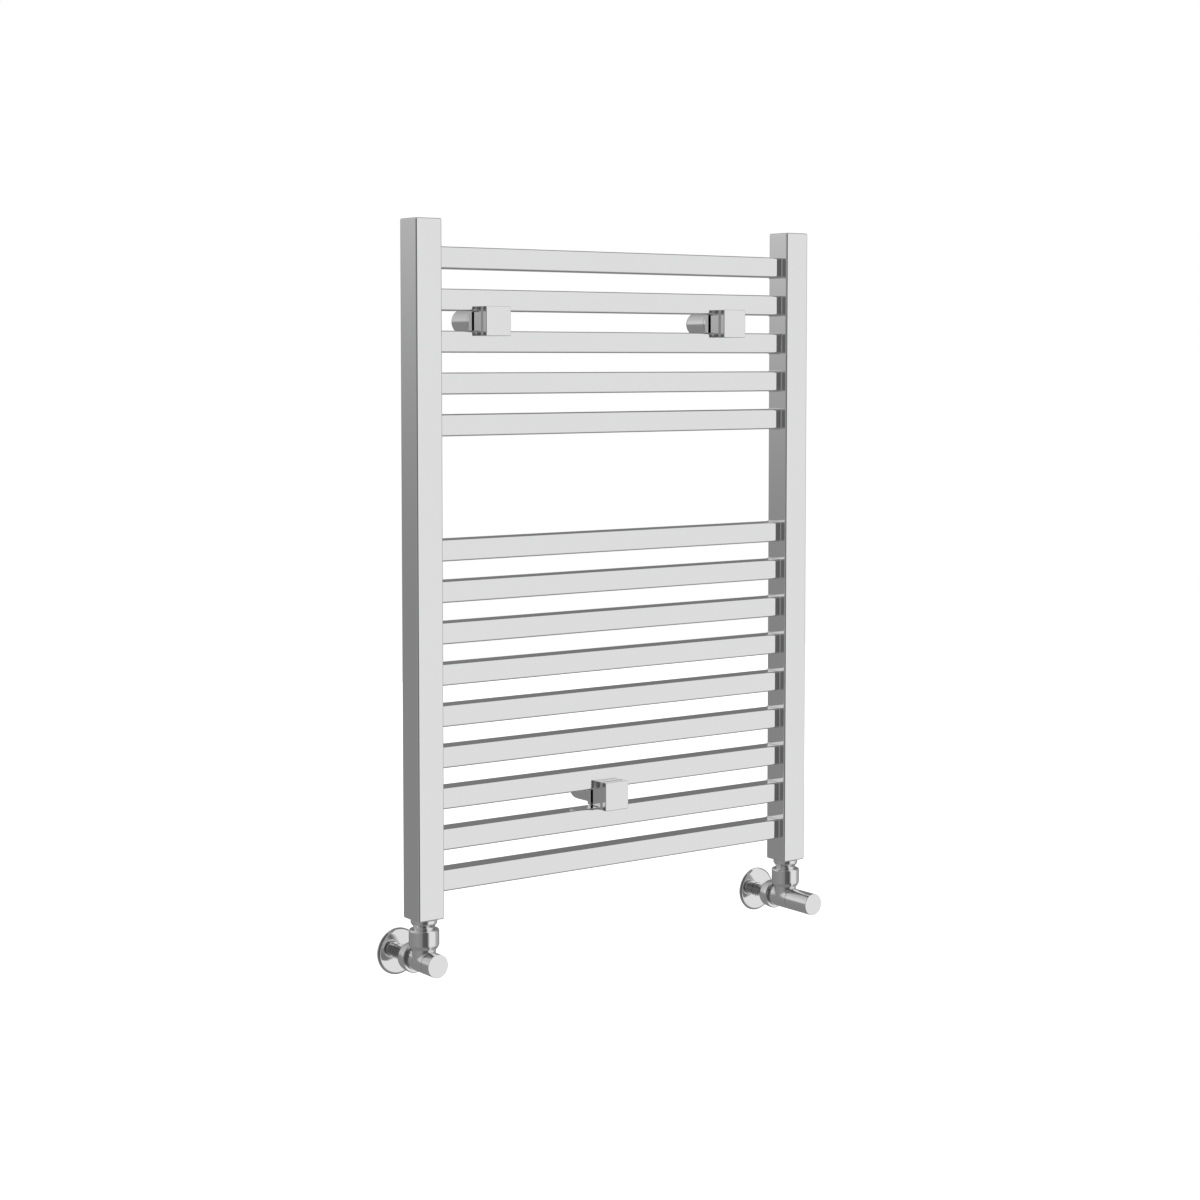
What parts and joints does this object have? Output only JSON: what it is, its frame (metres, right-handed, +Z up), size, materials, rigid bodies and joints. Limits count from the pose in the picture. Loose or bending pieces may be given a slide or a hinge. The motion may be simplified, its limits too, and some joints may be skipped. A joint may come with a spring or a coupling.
{
  "type": "ladder towel radiator with valves",
  "caption": "Chromed ladder towel radiator of square tube, held by telescopic wall brackets with square clamps, with a lockshield valve and a handwheel valve on its lower ends.",
  "frame": {"origin": "on the wall, midway across the radiator, level with the uprights' lower ends", "axes": "+X right along the bars, +Y back into the wall, +Z up along the uprights"},
  "size_m": [0.5174, 0.098, 0.7547],
  "materials": {
    "chrome": "mirror polished",
    "brass": "turned",
    "zinc_steel": "zinc plated",
    "seal_rubber": "matte"
  },
  "bodies": {
    "wall_side": {"upper_left_wall_socket": "chrome", "upper_right_wall_socket": "chrome", "lower_wall_socket": "chrome", "upper_left_grub_screw": "zinc_steel", "upper_right_grub_screw": "zinc_steel", "lower_grub_screw": "zinc_steel"},
    "radiator": {"left_upright": "chrome", "right_upright": "chrome", "left_top_plate": "chrome", "right_top_plate": "chrome", "left_bottom_plate": "chrome", "right_bottom_plate": "chrome", "crossbar_01": "chrome", "crossbar_02": "chrome", "crossbar_03": "chrome", "crossbar_04": "chrome", "crossbar_05": "chrome", "crossbar_06": "chrome", "crossbar_07": "chrome", "crossbar_08": "chrome", "crossbar_09": "chrome", "crossbar_10": "chrome", "crossbar_11": "chrome", "crossbar_12": "chrome", "crossbar_13": "chrome", "crossbar_14": "chrome", "vent_plug": "chrome", "upper_left_stem": "chrome", "upper_left_clamp": "chrome", "upper_left_cap": "chrome", "upper_right_stem": "chrome", "upper_right_clamp": "chrome", "upper_right_cap": "chrome", "lower_stem": "chrome", "lower_clamp": "chrome", "lower_cap": "chrome", "left_valve_body": "chrome", "left_tailpiece": "chrome", "left_union_nut": "chrome", "left_compression_nut": "chrome", "left_pipe": "chrome", "right_valve_body": "chrome", "right_tailpiece": "chrome", "right_union_nut": "chrome", "right_compression_nut": "chrome", "right_pipe": "chrome", "left_bonnet": "brass", "right_bonnet": "brass", "upper_left_clamp_bolt": "zinc_steel", "upper_right_clamp_bolt": "zinc_steel", "lower_clamp_bolt": "zinc_steel"},
    "left_rosette": {"left_rosette": "chrome"},
    "right_rosette": {"right_rosette": "chrome"},
    "handwheel": {"handwheel": "chrome", "right_spindle": "brass"},
    "right_valve_disc": {"right_valve_disc": "seal_rubber"},
    "lockshield_cap": {"lockshield_cap": "chrome"},
    "lockshield_spindle": {"left_spindle": "brass"},
    "left_valve_disc": {"left_valve_disc": "seal_rubber"},
    "vent_screw": {"vent_screw": "zinc_steel"}
  },
  "joints": [
    {"name": "standoff_slide", "type": "slide", "parent": "wall_side", "child": "radiator", "axis": [0, -1, 0], "range_m": [0, 0.015]},
    {"name": "left_rosette_slide", "type": "slide", "parent": "wall_side", "child": "left_rosette", "axis": [0, -1, 0], "range_m": [0, 0.0125]},
    {"name": "right_rosette_slide", "type": "slide", "parent": "wall_side", "child": "right_rosette", "axis": [0, -1, 0], "range_m": [0, 0.0125]},
    {"name": "handwheel_turn", "type": "hinge", "parent": "radiator", "child": "handwheel", "pos_m": [0.235, -0.081, -0.043], "axis": [0, 1, 0], "range_deg": [0, 1080]},
    {"name": "right_disc_slide", "type": "slide", "parent": "radiator", "child": "right_valve_disc", "axis": [0, 1, 0], "range_m": [0, 0.004]},
    {"name": "lockshield_cap_pull", "type": "slide", "parent": "radiator", "child": "lockshield_cap", "axis": [0, -1, 0], "range_m": [0, 0.025]},
    {"name": "lockshield_turn", "type": "hinge", "parent": "radiator", "child": "lockshield_spindle", "pos_m": [-0.235, -0.066, -0.043], "axis": [0, 1, 0], "range_deg": [0, 1080]},
    {"name": "left_disc_slide", "type": "slide", "parent": "radiator", "child": "left_valve_disc", "axis": [0, 1, 0], "range_m": [0, 0.004]},
    {"name": "vent_screw_turn", "type": "hinge", "parent": "radiator", "child": "vent_screw", "pos_m": [-0.235, -0.036, 0.664], "axis": [0, 1, 0], "range_deg": [0, 360]}
  ],
  "couplings": [
    {"joint": "right_disc_slide", "follows": "handwheel_turn", "m_per_rad": 0.000212},
    {"joint": "left_disc_slide", "follows": "lockshield_turn", "m_per_rad": 0.000212}
  ]
}
